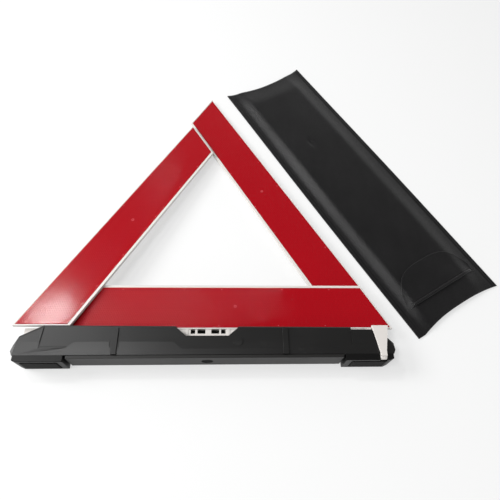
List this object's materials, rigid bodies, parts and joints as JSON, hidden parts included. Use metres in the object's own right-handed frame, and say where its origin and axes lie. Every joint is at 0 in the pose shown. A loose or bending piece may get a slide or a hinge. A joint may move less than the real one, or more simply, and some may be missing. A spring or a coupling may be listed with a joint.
{
  "type": "warning triangle",
  "caption": "Folding roadside warning triangle laid flat, red lenses in white arms on a black weighted base with cross leg and latch, with its soft cover beside it.",
  "frame": {"origin": "flat back of the base, at the middle of the outer edge line of the triangle's bottom band", "axes": "+X along the base to the latch end, +Y from the base towards the apex, +Z out of the red face, away from the surface it lies on"},
  "size_m": [0.5899, 0.508, 0.0326],
  "materials": {
    "black_plastic": "satin",
    "white_plastic": "satin",
    "red_lens": "gloss",
    "steel": "brushed",
    "rubber": "matte",
    "soft_black": "satin"
  },
  "bodies": {
    "base": {"base_front_shell": "black_plastic", "base_rear_shell": "black_plastic", "band_clips": "black_plastic", "ballast_bars": "steel", "shell_screws": "steel", "left_foot": "black_plastic", "right_foot": "black_plastic", "foot_pads": "rubber", "chassis": "white_plastic", "bottom_lens": "red_lens", "left_arm_rivet": "steel", "left_pivot_washer": "steel", "right_arm_rivet": "steel", "right_pivot_washer": "steel", "leg_bolt": "steel", "latch_pin": "steel", "latch_spring": "steel", "cover_back": "soft_black", "cover_front": "soft_black", "cover_tongue": "soft_black", "cover_slit_strap": "soft_black"},
    "left_arm": {"left_arm_frame": "white_plastic", "left_lens": "red_lens"},
    "right_arm": {"right_arm_frame": "white_plastic", "right_lens": "red_lens"},
    "leg": {"cross_leg": "black_plastic", "leg_ribs": "black_plastic"},
    "latch": {"fold_latch": "white_plastic"}
  },
  "joints": [
    {"name": "left_arm_fold", "type": "hinge", "parent": "base", "child": "left_arm", "pos_m": [-0.1717, 0.025, 0.025], "axis": [0, -0.0531, -0.9986], "range_deg": [0, 60]},
    {"name": "right_arm_fold", "type": "hinge", "parent": "base", "child": "right_arm", "pos_m": [0.1717, 0.025, 0.0134], "axis": [0, 0.0302, 0.9995], "range_deg": [0, 60]},
    {"name": "leg_swing", "type": "hinge", "parent": "base", "child": "leg", "pos_m": [0, -0.0355, 0.0152], "axis": [0, 1, 0], "range_deg": [0, 90]},
    {"name": "latch_lift", "type": "hinge", "parent": "base", "child": "latch", "pos_m": [0.1965, -0.0366, 0.0279], "axis": [1, 0, 0], "range_deg": [0, 25], "stiffness_Nm_per_rad": 0.03}
  ]
}
